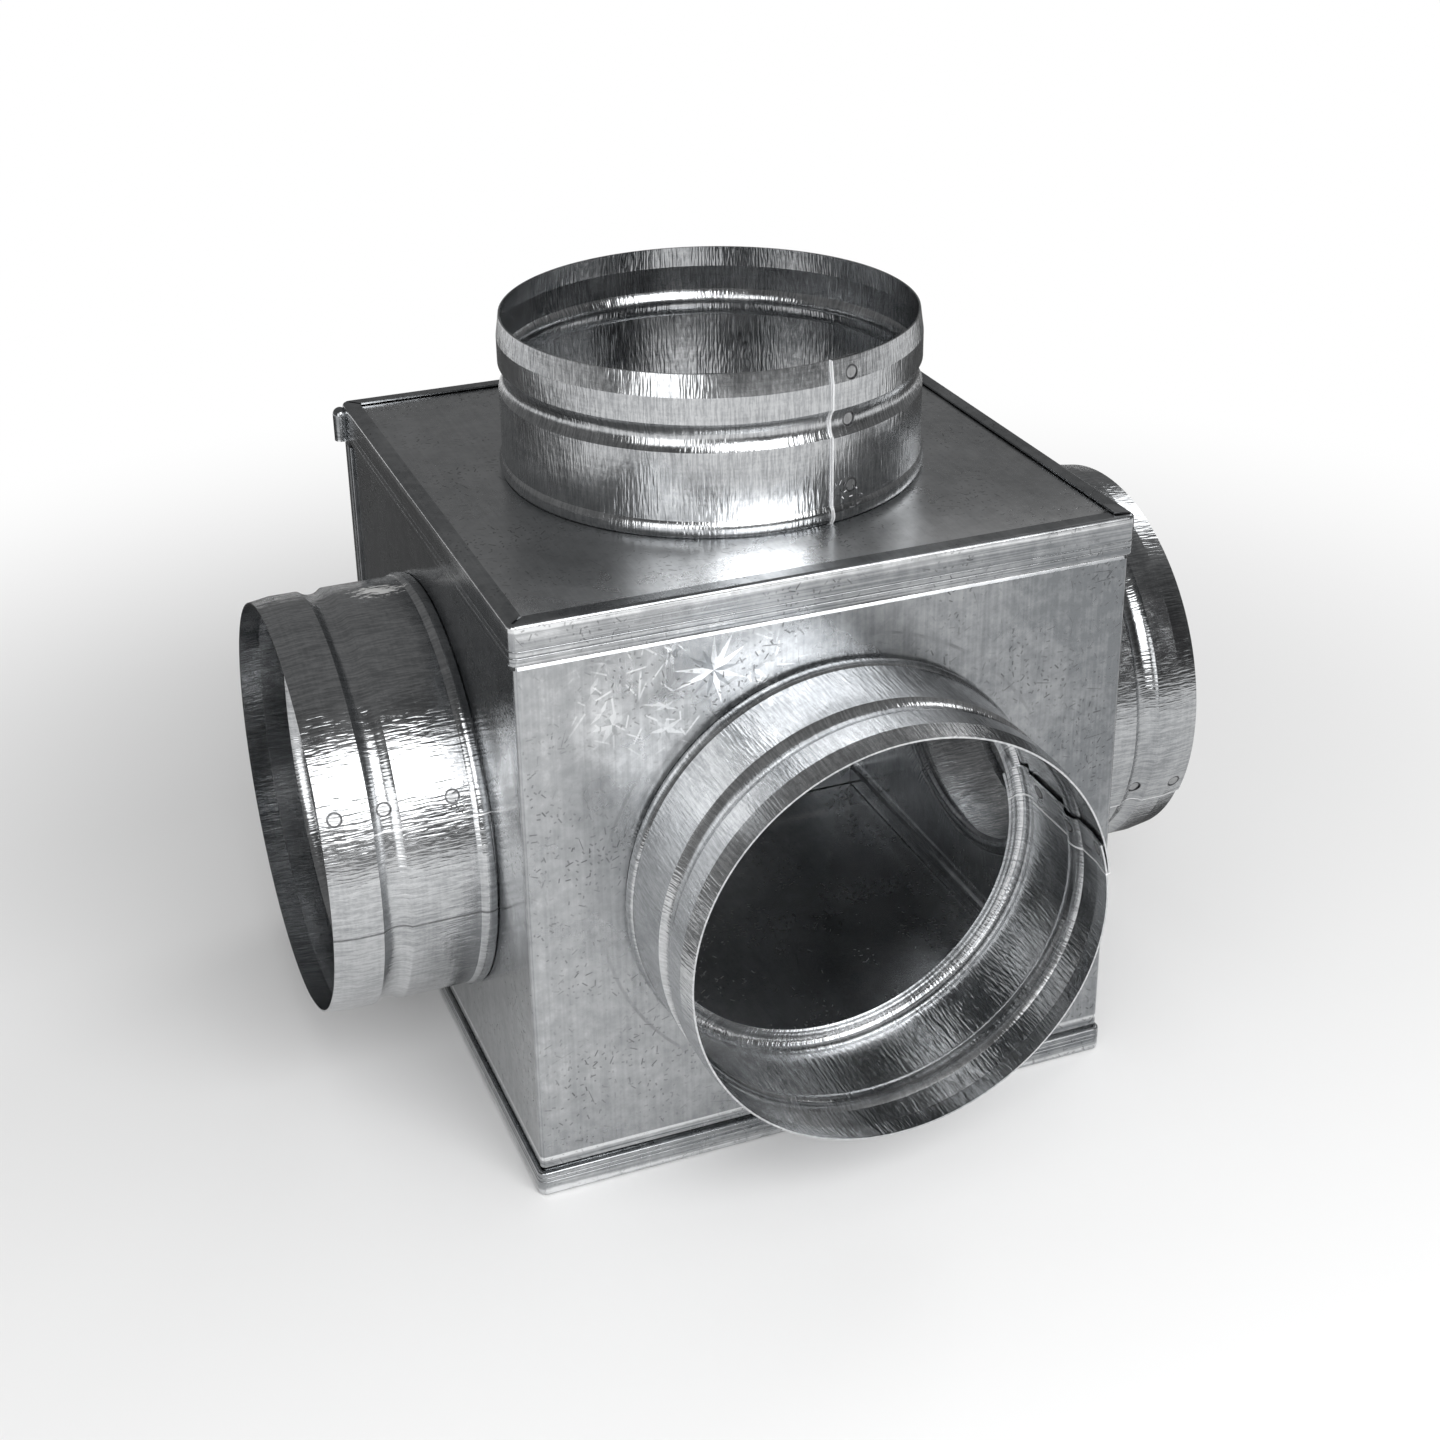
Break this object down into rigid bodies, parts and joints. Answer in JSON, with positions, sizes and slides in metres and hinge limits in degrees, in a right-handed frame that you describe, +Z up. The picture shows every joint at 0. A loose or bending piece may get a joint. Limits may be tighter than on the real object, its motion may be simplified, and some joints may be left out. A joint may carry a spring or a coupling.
{
  "type": "duct splitter box",
  "caption": "Square sheet-steel ventilation box with round spigots on its top, left, front and right faces, which splits one air duct into several branches.",
  "frame": {"origin": "middle of the ground that the part covers, front spigot included, in the plane of the lips that it stands on; the casing's own middle is 22.95 mm behind it", "axes": "+Z up out of the top spigot, -Y out of the front spigot, +X out of the right spigot and -X out of the left one"},
  "size_m": [0.274, 0.2282, 0.2261],
  "materials": {
    "casing_sheet": "satin galvanised sheet with faint spangle, rolling streaks and scratches",
    "panel_sheet": "satin galvanised sheet with faint mottling",
    "collar_sheet": "bright galvanised sheet, rolled, with fine ripples along its axis"
  },
  "bodies": {
    "root": {"casing_wrap": "casing_sheet", "top_panel": "panel_sheet", "bottom_panel": "panel_sheet", "top_collar": "collar_sheet", "left_collar": "collar_sheet", "front_collar": "collar_sheet", "right_collar": "collar_sheet"}
  },
  "joints": []
}
